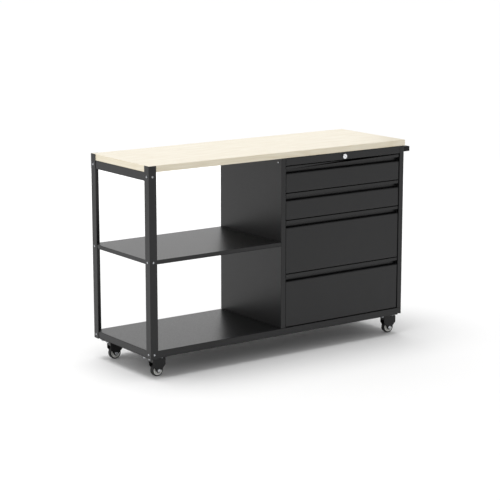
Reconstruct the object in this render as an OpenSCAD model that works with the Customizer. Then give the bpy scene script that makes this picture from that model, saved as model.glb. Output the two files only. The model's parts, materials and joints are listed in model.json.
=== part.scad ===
// Mobile workbench: wood top, two open shelves on the left, four-drawer cabinet on the
// right, push handle on the right end and four swivel casters.
// +X runs along the bench from the open end to the cabinet end, +Y from the drawer side to
// the back, +Z up. The origin is on the floor, under the middle of the whole object.

/* [Overall] */
// Length from the outer face of the posts to the right end of the worktop
bench_l = 1524; // [1360:1:1860]
// Height from the floor to the worktop surface
bench_h = 1004; // [860:1:1120]
// Depth of the worktop
worktop_d = 510; // [430:1:620]
// Thickness of the worktop
worktop_t = 30; // [24:1:45]
// Gap between the worktop and the posts around it
worktop_gap = 1; // [0.5:0.5:3]
// How far the worktop overhangs the cabinet's right side
worktop_overhang = 8; // [0:1:20]

/* [Frame] */
// Width of each flange of the corner posts
post_w = 40; // [34:1:50]
// Sheet thickness of the corner posts
post_t = 2; // [1.5:0.5:3]
// How far the posts reach below the edge of the base
post_drop = 3; // [0:0.5:8]
// Sheet thickness of the shelves, rails and cabinet panels
sheet_t = 1.5; // [1:0.1:2]
// Height of the end rail between the posts
end_rail_h = 40; // [34:1:55]
// Width of the end rail's top flange
end_rail_flange = 30; // [25:1:40]

/* [Shelves] */
// Height of the base edge
base_h = 34; // [28:1:50]
// Height of the middle shelf above the base
shelf_rise = 429; // [300:1:520]
// Height of the middle shelf's edge
shelf_lip = 19.5; // [16:0.5:30]
// Length of the relief at the base edge's right-hand corners
base_relief_l = 25; // [10:1:40]
// Height of that relief
base_relief_h = 3.5; // [1:0.5:6]

/* [Cabinet] */
// Width of the drawer cabinet
cabinet_w = 768; // [600:1:900]
// Width of the stiles beside the drawers
stile_w = 27; // [24:1:36]
// Depth that the stiles fold back into the cabinet
stile_return = 45; // [40:1:60]
// Height of the rail above the top drawer
top_rail_h = 36.5; // [34:0.5:48]
// Width of the folded flanges at the cabinet's top, bottom and back
panel_flange = 28; // [26:1:32]

/* [Drawers] */
// Gap around each drawer front
front_gap = 4; // [3:0.5:6]
// How far the drawer fronts sit behind the face of the frame
front_recess = 3; // [1:0.5:5]
// Folded depth of a drawer front
front_d = 22; // [20:1:30]
// Sheet thickness of a drawer front
front_t = 1.5; // [1:0.1:2]
// Height of the lip over the finger pull
pull_lip = 15; // [12:1:20]
// Height of the finger pull's mouth
pull_mouth = 20; // [18:1:26]
// Radius of the rolled edge below the mouth
pull_roll = 6; // [3:0.5:8]
// Radius of the curve at the back of the finger pull
pull_curve = 9; // [5:0.5:10]
// Width of the latch notch in the top drawer's lip
notch_w = 4; // [2:0.5:4]
// Distance of that notch from the lock's axis
notch_x = 20; // [16:1:30]
// Front-to-back length of a drawer tray
tray_l = 452; // [380:1:455]
// Sheet thickness of a drawer tray
tray_t = 1.2; // [0.8:0.1:2]
// Height of the tray's floor above the front's lower edge
tray_lift = 10; // [6:1:20]
// Distance from the tray's rim to the front's top edge
tray_drop = 24; // [18:1:40]

/* [Slides] */
// Length of the drawer slides
slide_l = 450; // [380:1:450]
// How far a drawer opens
slide_travel = 430; // [300:1:430]
// Height of a slide
slide_h = 45; // [40:1:50]
// Total thickness of a slide
slide_w = 12.7; // [12.7:0.1:14]
// Sheet thickness of the slide members
slide_t = 1.2; // [1:0.1:1.3]
// Running clearance between slide members
slide_gap = 0.5; // [0.4:0.1:0.8]
// Height of a slide's centre line above the tray's floor
slide_rise = 36; // [30:1:45]
// Distance from the cabinet's back to the rear slide uprights
upright_back = 79; // [75:1:110]
// Front-to-back width of the uprights
upright_w = 30; // [25:1:40]

/* [Lock] */
// Outer diameter of the lock's bezel
lock_d = 25; // [22:0.5:27]
// How far the bezel stands proud of the rail
lock_proud = 7.5; // [5:0.5:10]
// Diameter of the lock's barrel
lock_barrel_d = 19; // [17:0.5:20]
// Diameter of the key plug
lock_plug_d = 12; // [10:0.5:14]
// Length of the cam from the lock's axis
cam_l = 30; // [26:1:34]
// Width of the cam
cam_w = 13; // [10:1:14]

/* [Push handle] */
// Outer width of the handle's square tube
handle_w = 25; // [20:0.5:30]
// Wall of the handle's tube
handle_wall = 1.5; // [1:0.1:3]
// Distance from the cabinet's side to the middle of the grip
handle_reach = 46; // [44:1:90]
// Distance of each leg from the front or back of the bench
handle_inset = 40; // [38:1:70]
// Height of the handle's centre below the worktop surface
handle_drop = 52; // [52:1:56]

/* [Casters] */
// Height from the floor to the underside of the base edge
base_clearance = 104.5; // [98:0.5:130]
// How far the caster channels hang below the base edge
channel_drop = 5; // [2:0.5:8]
// Width of a caster channel
channel_w = 86; // [84:1:96]
// Sheet thickness of a caster channel
channel_t = 2; // [1.5:0.5:3]
// Distance from each end of the base to the swivel axes
caster_inset_x = 54.5; // [54:0.5:80]
// Distance from the front and back of the bench to the swivel axes
caster_inset_y = 67; // [60:1:90]
// Wheel diameter
wheel_d = 58; // [50:1:62]
// Tread width
wheel_w = 24; // [18:1:26]
// Thickness of the tyre around the wheel's plastic core
tyre_t = 6; // [4:0.5:8]
// Distance from the swivel axis to the axle
caster_trail = 17; // [10:1:24]
// Gap between the fork's cheeks
fork_gap = 32; // [30:1:36]
// Sheet thickness of the fork
fork_t = 2.5; // [2:0.5:3.5]
// Resting swivel angles: front left, rear left, front right, rear right
swivel = [0, -4, -6, 24];

/* [Fasteners] */
// Frame bolt diameter
bolt_d = 6; // [5:1:8]
// Frame bolt head diameter
bolt_head_d = 10.5; // [9:0.5:12]
// Frame bolt head height
bolt_head_h = 3.5; // [3:0.5:4.5]
// Across-flats size of the frame nuts
nut_af = 10; // [8:1:13]
// Thickness of the frame nuts
nut_h = 5; // [4:0.5:6]
// Clearance around a bolt in its hole
hole_gap = 0.2; // [0.1:0.05:0.5]
// Running clearance around pins and axles
run_gap = 0.05; // [0.02:0.01:0.1]

/* [Hidden] */
$fn = 48;
paint = "#2e2e30";
paint_dark = "#1c1c1e";
wood = "#e9dfc9";
zinc = "#c9cbce";
chrome = "#d8dade";
nylon = "#dcdcda";
tyre_black = "#161617";

eps = 0.01;
// Depth and height stations, from the posts' outer front corner
bench_d = worktop_d + 2 * (worktop_gap + post_t);
face_y = post_t;
back_y = bench_d - post_t;
body_d = back_y - face_y;
base_bottom = base_clearance;
base_top = base_bottom + base_h;
top_under = bench_h - worktop_t;
shelf_top = base_top + shelf_rise;
post_bottom = base_bottom - post_drop;
// Stations along the bench
cabinet_x1 = bench_l - worktop_overhang;
cabinet_x0 = cabinet_x1 - cabinet_w;
opening_x0 = cabinet_x0 + stile_w;
opening_x1 = cabinet_x1 - stile_w;
opening_w = opening_x1 - opening_x0;
// Drawers, numbered from the top: two single-height and two double-height
rail_bottom = top_under - top_rail_h;
drawer_unit = (rail_bottom - base_top - front_gap) / 6;
drawer_units = [1, 1, 2, 2];
drawer_below = [5, 4, 2, 0];
function front_z(n) = base_top + front_gap + drawer_below[n - 1] * drawer_unit;
function front_h(n) = drawer_units[n - 1] * drawer_unit - front_gap;
function tray_h(n) = front_h(n) - tray_lift - tray_drop;
front_y = face_y + front_recess;
front_w = opening_w - 2 * front_gap;
front_x = opening_x0 + front_gap;
tray_y = front_y + front_d;
tray_w = opening_w - 2 * slide_w;
// The slides start just behind the drawer fronts
slide_setback = 2;
slide_y = tray_y + slide_setback;
upright_y = back_y - upright_back - upright_w;
outer_half = slide_h / 2;
middle_half = outer_half - slide_t - slide_gap;
inner_half = middle_half - slide_t - slide_gap;
middle_web = slide_t + slide_gap;
middle_tip = slide_w - slide_t - slide_gap;
// Fasteners
frame_bolt_x = post_w / 2;
rail_bolt_z = top_under - end_rail_h / 2;
shelf_bolt_z = shelf_top - shelf_lip / 2;
base_bolt_z = base_bottom + base_h / 2;
cabinet_bolt_y = 28;
shelf_bolt_inset = 100;
foot_bolt_inset = 60;
foot_bolt_x = 22;
bolt_tail = 1.5;
hex_key_d = 4.2;
hex_key_depth = 2;
frame_bolt_l = post_t + sheet_t + nut_h + bolt_tail;
panel_bolt_l = 2 * sheet_t + nut_h + bolt_tail;
screw_d = 4;
screw_head_d = 8;
screw_head_h = 3;
screw_l = 20;
screw_gap = 0.1;
rail_flange_y = 40;
rail_lower_flange = 15;
// Lock
lock_low = 2;
lock_x = (cabinet_x0 + cabinet_x1) / 2;
lock_z = rail_bottom + top_rail_h / 2 - lock_low;
lock_behind = 3;
lock_back_y = tray_y + lock_behind;
lock_nut_h = 4;
lock_nut_af = lock_barrel_d + 5;
lock_bevel = 2;
lock_key_proud = 0.5;
key_slot = [2.2, 8];
key_slot_depth = 3;
cam_t = 2;
// Handle
handle_z = bench_h - handle_drop;
handle_plate = [3, 60, 40];
handle_bolt_dy = 22;
handle_bolt_l = handle_plate[0] + 2 * sheet_t + nut_h + bolt_tail;
handle_x = cabinet_x1 + handle_plate[0];
handle_legs = [handle_inset, bench_d - handle_inset];
// Casters: front left, rear left, front right, rear right
caster_x0 = caster_inset_x;
caster_x1 = cabinet_x1 - caster_inset_x;
caster_y0 = caster_inset_y;
caster_y1 = bench_d - caster_inset_y;
caster_at = [[caster_x0, caster_y0], [caster_x0, caster_y1],
             [caster_x1, caster_y0], [caster_x1, caster_y1]];
plate_top = base_bottom - channel_drop;
plate_t = 3;
plate_size = [84, 62];
plate_bolt = [66, 44];
caster_bolt_d = 8;
caster_head_d = 13;
caster_head_h = 4.5;
caster_nut_af = 13;
caster_nut_h = 6.5;
race_d = 46;
race_h = 5;
race_gap = 0.3;
cap_d = 56;
cap_h = 4;
king_d = 12;
king_head_d = 20;
king_head_h = 4;
fork_w = fork_gap + 2 * fork_t;
fork_lead = 13.5;
fork_tail = 56;
fork_front_h = 18;
cheek_drop = 33;
fork_tongue_r = 11.5;
axle_d = 10;
axle_head_af = 16;
axle_head_h = 6;
axle_nut_h = 7;
hub_d = 20;
hub_side_gap = 0.3;
core_web_t = 9;
core_rim_t = 4;
tyre_round = tyre_t / 2;
core_d = wheel_d - 2 * tyre_t;
channel_flange = 8;
channel_end_gap = 12;
cap_z = plate_top - plate_t - race_h - race_gap - cap_h;
fork_top = cap_z;
axle_z = wheel_d / 2;
// Middle of the whole object, where the origin stands
x_low = -bolt_head_h;
x_high = cabinet_x1 + handle_reach + handle_w / 2;
y_low = face_y - lock_proud - lock_key_proud;
y_high = bench_d + bolt_head_h;
origin_x = (x_low + x_high) / 2;
origin_y = (y_low + y_high) / 2;

// Moves a piece from the posts' corner to the object's own origin
module bench() { translate([-origin_x, -origin_y, 0]) children(); }

// A box given by its low and high corners
module span(low, high) { translate(low) cube(high - low); }

// Turns +Z to point along an axis
module along_x() { rotate([0, 90, 0]) children(); }
module against_x() { rotate([0, -90, 0]) children(); }
module along_y() { rotate([-90, 0, 0]) children(); }
module against_y() { rotate([90, 0, 0]) children(); }

// ---- fasteners ----

// Button-head bolt: the head's seat is at z = 0 and the shank runs down
module button_bolt(length) {
    difference() {
        union() {
            cylinder(d1 = bolt_head_d, d2 = bolt_head_d - bolt_head_h, h = bolt_head_h);
            translate([0, 0, -length]) cylinder(d = bolt_d, h = length + eps);
        }
        translate([0, 0, bolt_head_h - hex_key_depth])
            cylinder(d = hex_key_d, h = hex_key_depth + 1, $fn = 6);
    }
}

// Hexagon nut below z = 0, bored for the bolt
module hex_nut(af, h, bore_d) {
    translate([0, 0, -h]) difference() {
        cylinder(d = af / cos(30), h = h, $fn = 6);
        translate([0, 0, -1]) cylinder(d = bore_d + 2 * hole_gap, h = h + 2);
    }
}

// Nut that clamps two sheets
module panel_nut() {
    translate([0, 0, -2 * sheet_t]) hex_nut(nut_af, nut_h, bolt_d);
}

module bolt_hole(length) {
    translate([0, 0, -length]) cylinder(d = bolt_d + 2 * hole_gap, h = 2 * length);
}

// Places children at each frame bolt on the posts, heads outwards, seat on the post
module at_post_bolts() {
    for (z = [rail_bolt_z, shelf_bolt_z, base_bolt_z]) {
        translate([frame_bolt_x, 0, z]) against_y() children();
        translate([0, frame_bolt_x, z]) against_x() children();
        translate([0, bench_d - frame_bolt_x, z]) against_x() children();
        translate([frame_bolt_x, bench_d, z]) along_y() children();
    }
}

// The bolt that ties the cabinet's left side to the top rail
module at_cabinet_bolt() {
    translate([cabinet_x0, cabinet_bolt_y, lock_z]) against_x() children();
}

// Bolts from the middle shelf's right lip into the cabinet
module at_shelf_bolts() {
    for (y = [shelf_bolt_inset, bench_d - shelf_bolt_inset])
        translate([cabinet_x0 - sheet_t, y, shelf_bolt_z]) against_x() children();
}

// Bolts from the cabinet's bottom flanges into the base
module at_foot_bolts() {
    for (x = [cabinet_x0 + foot_bolt_x, cabinet_x1 - foot_bolt_x])
        for (y = [foot_bolt_inset, bench_d - foot_bolt_inset])
            translate([x, y, base_top + sheet_t]) children();
}

// Pilot hole for a worktop screw, through the flange under it
module screw_hole() {
    translate([0, 0, -1]) cylinder(d = screw_d + 2 * screw_gap, h = screw_l + 2);
}

module at_handle_bolts() {
    for (y = handle_legs) for (side = [-1, 1])
        translate([handle_x, y + side * handle_bolt_dy, handle_z]) along_x() children();
}

// Screws up into the worktop, seated under the flanges
module at_worktop_screws() {
    at = [
        [frame_bolt_x, bench_d / 5], [frame_bolt_x, bench_d / 2],
        [frame_bolt_x, bench_d * 4 / 5],
        [cabinet_x0 + stile_w / 2, bench_d / 4], [cabinet_x0 + stile_w / 2, bench_d * 3 / 4],
        [cabinet_x1 - stile_w / 2, bench_d / 4], [cabinet_x1 - stile_w / 2, bench_d * 3 / 4],
        [cabinet_x0 + cabinet_w / 4, rail_flange_y * 2 / 3],
        [cabinet_x1 - cabinet_w / 4, rail_flange_y * 2 / 3]
    ];
    for (p = at) translate([p[0], p[1], top_under - sheet_t]) children();
}

module frame_bolts() {
    color(zinc) bench() {
        at_post_bolts() button_bolt(frame_bolt_l);
        at_cabinet_bolt() button_bolt(panel_bolt_l);
        at_shelf_bolts() button_bolt(panel_bolt_l);
        at_foot_bolts() button_bolt(panel_bolt_l);
    }
}

module frame_nuts() {
    color(zinc) bench() {
        at_post_bolts() translate([0, 0, -post_t - sheet_t]) hex_nut(nut_af, nut_h, bolt_d);
        at_cabinet_bolt() panel_nut();
        at_shelf_bolts() panel_nut();
        at_foot_bolts() panel_nut();
    }
}

module worktop_screws() {
    color(zinc) bench() at_worktop_screws() {
        translate([0, 0, -screw_head_h]) cylinder(d = screw_head_d, h = screw_head_h);
        cylinder(d = screw_d, h = screw_l);
    }
}

// ---- frame ----

module worktop() {
    color(wood) bench() difference() {
        span([post_t + worktop_gap, post_t + worktop_gap, top_under],
             [bench_l, bench_d - post_t - worktop_gap, bench_h]);
        at_worktop_screws() screw_hole();
    }
}

// L-section post at the front left corner
module post() {
    difference() {
        span([0, 0, post_bottom], [post_w, post_w, bench_h]);
        span([post_t, post_t, post_bottom - 1], [post_w + 1, post_w + 1, bench_h + 1]);
    }
}

module post_front_left() {
    color(paint) bench() difference() {
        post();
        at_post_bolts() bolt_hole(frame_bolt_l);
    }
}

module post_rear_left() {
    color(paint) bench() difference() {
        translate([0, bench_d, 0]) mirror([0, 1, 0]) post();
        at_post_bolts() bolt_hole(frame_bolt_l);
    }
}

// Folded rail at the open end: web, top flange and a tab at each post
module end_rail() {
    low = top_under - end_rail_h;
    color(paint) bench() difference() {
        union() {
            span([post_t, face_y, low], [post_t + sheet_t, back_y, top_under]);
            span([post_t, face_y, top_under - sheet_t],
                 [post_t + end_rail_flange, back_y, top_under]);
            span([post_t, face_y, low], [post_t + end_rail_flange, face_y + sheet_t, top_under]);
            span([post_t, back_y - sheet_t, low], [post_t + end_rail_flange, back_y, top_under]);
        }
        at_post_bolts() bolt_hole(frame_bolt_l);
        at_worktop_screws() screw_hole();
    }
}

// Folded shelf: a deck with a lip down all four sides
module folded_shelf(x0, x1, z_low, z_high) {
    difference() {
        span([x0, face_y, z_low], [x1, back_y, z_high]);
        span([x0 + sheet_t, face_y + sheet_t, z_low - 1],
             [x1 - sheet_t, back_y - sheet_t, z_high - sheet_t]);
    }
}

module mid_shelf() {
    color(paint) bench() difference() {
        folded_shelf(post_t, cabinet_x0, shelf_top - shelf_lip, shelf_top);
        at_post_bolts() bolt_hole(frame_bolt_l);
        at_shelf_bolts() bolt_hole(panel_bolt_l);
    }
}

module base_shelf() {
    color(paint) bench() difference() {
        folded_shelf(post_t, cabinet_x1, base_bottom, base_top);
        for (y = [face_y, back_y])
            span([cabinet_x1 - base_relief_l, y - 2 * sheet_t, base_bottom - 1],
                 [cabinet_x1 + 1, y + 2 * sheet_t, base_bottom + base_relief_h]);
        at_post_bolts() bolt_hole(frame_bolt_l);
        at_foot_bolts() bolt_hole(panel_bolt_l);
    }
}

// Hat-section channels under the base that carry the casters
module caster_channels() {
    y0 = face_y + channel_end_gap;
    y1 = back_y - channel_end_gap;
    deck = base_top - sheet_t;
    half = channel_w / 2;
    color(paint_dark) bench() difference() {
        for (x = [caster_x0, caster_x1]) {
            difference() {
                span([x - half, y0, plate_top], [x + half, y1, deck]);
                span([x - half + channel_t, y0 - 1, plate_top + channel_t],
                     [x + half - channel_t, y1 + 1, deck + 1]);
            }
            for (side = [-1, 1])
                span([x + side * (half + channel_flange / 2) - channel_flange / 2, y0,
                      deck - channel_t],
                     [x + side * (half + channel_flange / 2) + channel_flange / 2, y1, deck]);
        }
        at_caster_bolts() caster_bolt_hole();
    }
}

// ---- cabinet ----

// One side with its stile and flanges, outer face at x = 0, facing -X
module cabinet_side() {
    // panel
    span([0, face_y, base_top], [sheet_t, back_y, top_under]);
    // stile and its return beside the drawers
    span([0, face_y, base_top], [stile_w, face_y + sheet_t, top_under]);
    span([stile_w - sheet_t, face_y, base_top],
         [stile_w, face_y + stile_return, rail_bottom]);
    // flange on the base, under the worktop and at the back
    span([0, face_y, base_top], [panel_flange, back_y - 2 * sheet_t, base_top + sheet_t]);
    span([0, face_y + rail_flange_y, top_under - sheet_t],
         [stile_w - sheet_t, back_y - 2 * sheet_t, top_under]);
    span([0, back_y - 2 * sheet_t, base_top], [stile_w - sheet_t, back_y - sheet_t, top_under]);
}

module cabinet_cuts() {
    at_cabinet_bolt() bolt_hole(panel_bolt_l);
    at_shelf_bolts() bolt_hole(panel_bolt_l);
    at_foot_bolts() bolt_hole(panel_bolt_l);
    at_handle_bolts() bolt_hole(handle_bolt_l);
    at_worktop_screws() screw_hole();
}

module cabinet_left_side() {
    color(paint) bench() difference() {
        translate([cabinet_x0, 0, 0]) cabinet_side();
        cabinet_cuts();
    }
}

module cabinet_right_side() {
    color(paint) bench() difference() {
        translate([cabinet_x1, 0, 0]) mirror([1, 0, 0]) cabinet_side();
        cabinet_cuts();
    }
}

module cabinet_back() {
    color(paint) bench()
        span([cabinet_x0 + sheet_t, back_y - sheet_t, base_top],
             [cabinet_x1 - sheet_t, back_y, top_under]);
}

// Rail over the drawers: web, lower and upper flange, and a tab at each side panel
module cabinet_top_rail() {
    tab_y = face_y + rail_flange_y;
    low = rail_bottom + sheet_t;
    color(paint) bench() difference() {
        union() {
            span([opening_x0, face_y, rail_bottom], [opening_x1, face_y + sheet_t, top_under]);
            span([opening_x0, face_y, rail_bottom],
                 [opening_x1, face_y + sheet_t + rail_lower_flange, low]);
            span([cabinet_x0 + sheet_t, face_y + sheet_t, top_under - sheet_t],
                 [cabinet_x1 - sheet_t, tab_y, top_under]);
            for (x = [cabinet_x0 + sheet_t, cabinet_x1 - 2 * sheet_t])
                span([x, face_y + sheet_t, low], [x + sheet_t, tab_y, top_under]);
        }
        cabinet_cuts();
        translate([lock_x, face_y - 1, lock_z]) along_y()
            cylinder(d = lock_barrel_d + 2 * hole_gap, h = sheet_t + 2);
    }
}

// C-section uprights that carry the rear ends of the slides
module slide_uprights() {
    z0 = base_top + sheet_t;
    z1 = rail_bottom;
    color(paint_dark) bench() for (left = [true, false]) {
        x = left ? cabinet_x0 + sheet_t : opening_x1;
        w = stile_w - sheet_t;
        difference() {
            span([x, upright_y, z0], [x + w, upright_y + upright_w, z1]);
            span([left ? x - 1 : x + sheet_t, upright_y + sheet_t, z0 - 1],
                 [left ? x + w - sheet_t : x + w + 1, upright_y + upright_w - sheet_t, z1 + 1]);
        }
    }
}

// ---- drawers ----

// Quarter of a sheet's bend, from 0 to 90 degrees about the origin, outer radius r
module bend(r) {
    intersection() {
        difference() {
            circle(r = r);
            circle(r = r - front_t);
        }
        square(r + 1);
    }
}

// Section of a drawer front folded from one sheet, +X inwards and +Y up: lower return, face,
// rolled edge, floor and back of the finger pull, top and lip
module front_section(h) {
    mouth_low = h - pull_lip - pull_mouth;
    curve_x = front_d - front_t - pull_curve;
    square([front_d, front_t]);
    square([front_t, mouth_low - pull_roll]);
    translate([pull_roll, mouth_low - pull_roll]) mirror([1, 0]) bend(pull_roll);
    translate([pull_roll, mouth_low - front_t]) square([curve_x - pull_roll, front_t]);
    translate([curve_x, mouth_low + pull_curve]) mirror([0, 1]) bend(pull_curve + front_t);
    translate([front_d - front_t, mouth_low + pull_curve])
        square([front_t, h - mouth_low - pull_curve]);
    translate([0, h - front_t]) square([front_d, front_t]);
    translate([0, h - pull_lip]) square([front_t, pull_lip]);
}

module drawer_front(n) {
    h = front_h(n);
    mouth_low = h - pull_lip - pull_mouth;
    notch_at = lock_x + notch_x - front_x;
    color(paint) bench() translate([front_x, front_y, front_z(n)]) difference() {
        union() {
            rotate([90, 0, 90]) linear_extrude(front_w) front_section(h);
            // ends, set back where they cross the finger pull
            for (x = [0, front_w - front_t]) {
                translate([x, 0, 0]) cube([front_t, front_d, mouth_low - pull_roll]);
                translate([x, pull_roll, 0]) cube([front_t, front_d - pull_roll, h]);
            }
        }
        if (n == 1)
            span([notch_at - notch_w / 2, -1, h - pull_lip - 1],
                 [notch_at + notch_w / 2, front_t + eps, h - front_t]);
    }
}

// Open-topped tray behind the front
module drawer_tray(n) {
    x = opening_x0 + slide_w;
    z = front_z(n) + tray_lift;
    h = tray_h(n);
    color(paint) bench() difference() {
        span([x, tray_y, z], [x + tray_w, tray_y + tray_l, z + h]);
        span([x + tray_t, tray_y + tray_t, z + tray_t],
             [x + tray_w - tray_t, tray_y + tray_l - tray_t, z + h + 1]);
    }
}

// ---- slides ----

function slide_z(n) = front_z(n) + tray_lift + slide_rise;

// One channel of a slide, web at x = web_x, flanges running to x = tip_x
module slide_channel(web_x, tip_x, half) {
    low = min(web_x, tip_x);
    high = max(web_x, tip_x);
    opens_in = tip_x > web_x;
    difference() {
        span([low, 0, -half], [high, slide_l, half]);
        span([opens_in ? web_x + slide_t : tip_x - 1, -1, -half + slide_t],
             [opens_in ? tip_x + 1 : web_x - slide_t, slide_l + 1, half - slide_t]);
    }
}

// A pair of like slide members, at the left and right of drawer n
module slide_pair(n, web_x, tip_x, half) {
    for (left = [true, false])
        translate([left ? opening_x0 : opening_x1, slide_y, slide_z(n)])
            mirror([left ? 0 : 1, 0, 0]) slide_channel(web_x, tip_x, half);
}

module slide_outer(n) {
    color(zinc) bench() slide_pair(n, 0, middle_tip - slide_gap, outer_half);
}

module slide_middle(n) {
    color(zinc) bench() slide_pair(n, middle_web, middle_tip, middle_half);
}

module slide_inner(n) {
    color(zinc) bench() slide_pair(n, slide_w, middle_web + slide_t + slide_gap, inner_half);
}

// ---- lock ----

module lock_body() {
    color(chrome) bench() translate([lock_x, face_y, lock_z]) against_y() difference() {
        union() {
            cylinder(d = lock_d, h = lock_proud - lock_bevel);
            translate([0, 0, lock_proud - lock_bevel])
                cylinder(d1 = lock_d, d2 = lock_d - 2 * lock_bevel, h = lock_bevel);
            translate([0, 0, face_y - lock_back_y]) cylinder(d = lock_barrel_d, h = lock_back_y);
        }
        translate([0, 0, -lock_back_y])
            cylinder(d = lock_plug_d + 2 * run_gap, h = 2 * lock_back_y);
    }
}

module lock_nut() {
    color(zinc) bench() translate([lock_x, face_y + sheet_t + lock_nut_h, lock_z]) against_y()
        difference() {
            cylinder(d = lock_nut_af / cos(30), h = lock_nut_h, $fn = 6);
            translate([0, 0, -1])
                cylinder(d = lock_barrel_d + 2 * hole_gap, h = lock_nut_h + 2);
        }
}

module lock_plug() {
    length = lock_back_y - face_y + lock_proud + lock_key_proud;
    color(chrome) bench() translate([lock_x, lock_back_y, lock_z]) against_y() difference() {
        cylinder(d = lock_plug_d, h = length);
        translate([-key_slot[0] / 2, -key_slot[1] / 2, length - key_slot_depth])
            cube([key_slot[0], key_slot[1], key_slot_depth + 1]);
    }
}

// Cam behind the plug, lying level while the drawers are free
module lock_cam() {
    color(zinc) bench() translate([lock_x, lock_back_y, lock_z]) along_y() {
        cylinder(d = cam_w, h = cam_t);
        translate([0, -cam_w / 2, 0]) cube([cam_l, cam_w, cam_t]);
    }
}

// ---- push handle ----

// Two legs and the grip between them as one square bar, width across, from start outwards
module handle_bar(width, start) {
    half = width / 2;
    grip_x = handle_reach - handle_plate[0];
    for (y = handle_legs) span([start, y - half, -half], [grip_x + half, y + half, half]);
    span([grip_x - half, handle_legs[0] - half, -half],
         [grip_x + half, handle_legs[1] + half, half]);
}

module push_handle() {
    color(paint_dark) bench() {
        difference() {
            for (y = handle_legs)
                translate([cabinet_x1, y - handle_plate[1] / 2, handle_z - handle_plate[2] / 2])
                    cube(handle_plate);
            at_handle_bolts() bolt_hole(handle_bolt_l);
        }
        translate([handle_x, 0, handle_z]) difference() {
            handle_bar(handle_w, 0);
            handle_bar(handle_w - 2 * handle_wall, -1);
        }
    }
}

module handle_bolts() {
    color(zinc) bench() at_handle_bolts() {
        button_bolt(handle_bolt_l);
        translate([0, 0, -handle_bolt_l + nut_h + bolt_tail]) hex_nut(nut_af, nut_h, bolt_d);
    }
}

// ---- casters ----

module at_casters() {
    for (p = caster_at) translate([p[0], p[1], 0]) children();
}

// Caster bolts, at the level of the plates' top
module at_caster_bolts() {
    at_casters() for (x = [-1, 1]) for (y = [-1, 1])
        translate([x * plate_bolt[0] / 2, y * plate_bolt[1] / 2, plate_top]) children();
}

module caster_bolt_hole() {
    cylinder(d = caster_bolt_d + 2 * hole_gap, h = 4 * (plate_t + channel_t), center = true);
}

module caster_plates() {
    pin_low = fork_top - fork_t - race_gap - king_head_h;
    color(paint_dark) bench() difference() {
        at_casters() {
            translate([-plate_size[0] / 2, -plate_size[1] / 2, plate_top - plate_t])
                cube([plate_size[0], plate_size[1], plate_t]);
            translate([0, 0, plate_top - plate_t - race_h])
                cylinder(d = race_d, h = race_h + eps);
            translate([0, 0, pin_low]) cylinder(d = king_d, h = plate_top - plate_t - pin_low);
            translate([0, 0, pin_low]) cylinder(d = king_head_d, h = king_head_h);
        }
        at_caster_bolts() caster_bolt_hole();
    }
}

module caster_bolts() {
    tail = plate_t + caster_nut_h + bolt_tail;
    color(zinc) bench() at_caster_bolts() {
        translate([0, 0, channel_t])
            cylinder(d = caster_head_d / cos(30), h = caster_head_h, $fn = 6);
        translate([0, 0, -tail]) cylinder(d = caster_bolt_d, h = tail + channel_t);
    }
}

module caster_nuts() {
    color(zinc) bench() at_caster_bolts() translate([0, 0, -plate_t])
        hex_nut(caster_nut_af, caster_nut_h, caster_bolt_d);
}

// Moves a caster's moving pieces to caster n, turned to its resting angle; +X trails
module caster(n) {
    translate([caster_at[n - 1][0], caster_at[n - 1][1], 0])
        rotate([0, 0, swivel[n - 1]]) children();
}

// Outline of a fork cheek, +X trailing and +Y up, from the axle's tongue to the top
module cheek_outline() {
    hull() {
        translate([-fork_lead, fork_top - cheek_drop])
            square([fork_lead + fork_tail, cheek_drop]);
        translate([caster_trail, axle_z]) circle(r = fork_tongue_r);
    }
}

module caster_fork(n) {
    color(paint_dark) bench() caster(n) difference() {
        union() {
            for (y = [-fork_w / 2, fork_w / 2 - fork_t])
                translate([0, y + fork_t, 0]) against_y() linear_extrude(fork_t) cheek_outline();
            translate([-fork_lead, -fork_w / 2, fork_top - fork_t])
                cube([fork_lead + fork_tail, fork_w, fork_t]);
            // closed front of the hood
            translate([-fork_lead, -fork_w / 2, fork_top - fork_front_h])
                cube([fork_t, fork_w, fork_front_h]);
            translate([0, 0, cap_z - eps]) cylinder(d = cap_d, h = cap_h + eps);
        }
        translate([0, 0, fork_top - fork_t - 1])
            cylinder(d = king_d + 2 * run_gap, h = cap_h + fork_t + 2);
        translate([caster_trail, -fork_w, axle_z]) along_y()
            cylinder(d = axle_d + 2 * run_gap, h = 2 * fork_w);
    }
}

// Axle bolt with its head to the front, and the nut at the back
module axle(n) {
    color(zinc) bench() caster(n) translate([caster_trail, 0, axle_z]) {
        translate([0, -fork_w / 2, 0]) against_y()
            cylinder(d = axle_head_af / cos(30), h = axle_head_h, $fn = 6);
        translate([0, -fork_w / 2, 0]) along_y()
            cylinder(d = axle_d, h = fork_w + axle_nut_h + bolt_tail);
        translate([0, fork_w / 2 + axle_nut_h, 0]) along_y()
            hex_nut(axle_head_af, axle_nut_h, axle_d);
    }
}

// Hub, web and rim swept round the axle
module wheel_core(n) {
    hub_l = fork_gap - 2 * hub_side_gap;
    rim_r = core_d / 2;
    color(nylon) bench() caster(n) translate([caster_trail, 0, axle_z]) along_y()
        rotate_extrude() difference() {
            union() {
                translate([0, -hub_l / 2]) square([hub_d / 2, hub_l]);
                translate([0, -core_web_t / 2]) square([rim_r, core_web_t]);
                translate([rim_r - core_rim_t, -wheel_w / 2]) square([core_rim_t, wheel_w]);
            }
            translate([-1, -hub_l]) square([axle_d / 2 + run_gap + 1, 2 * hub_l]);
        }
}

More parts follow.
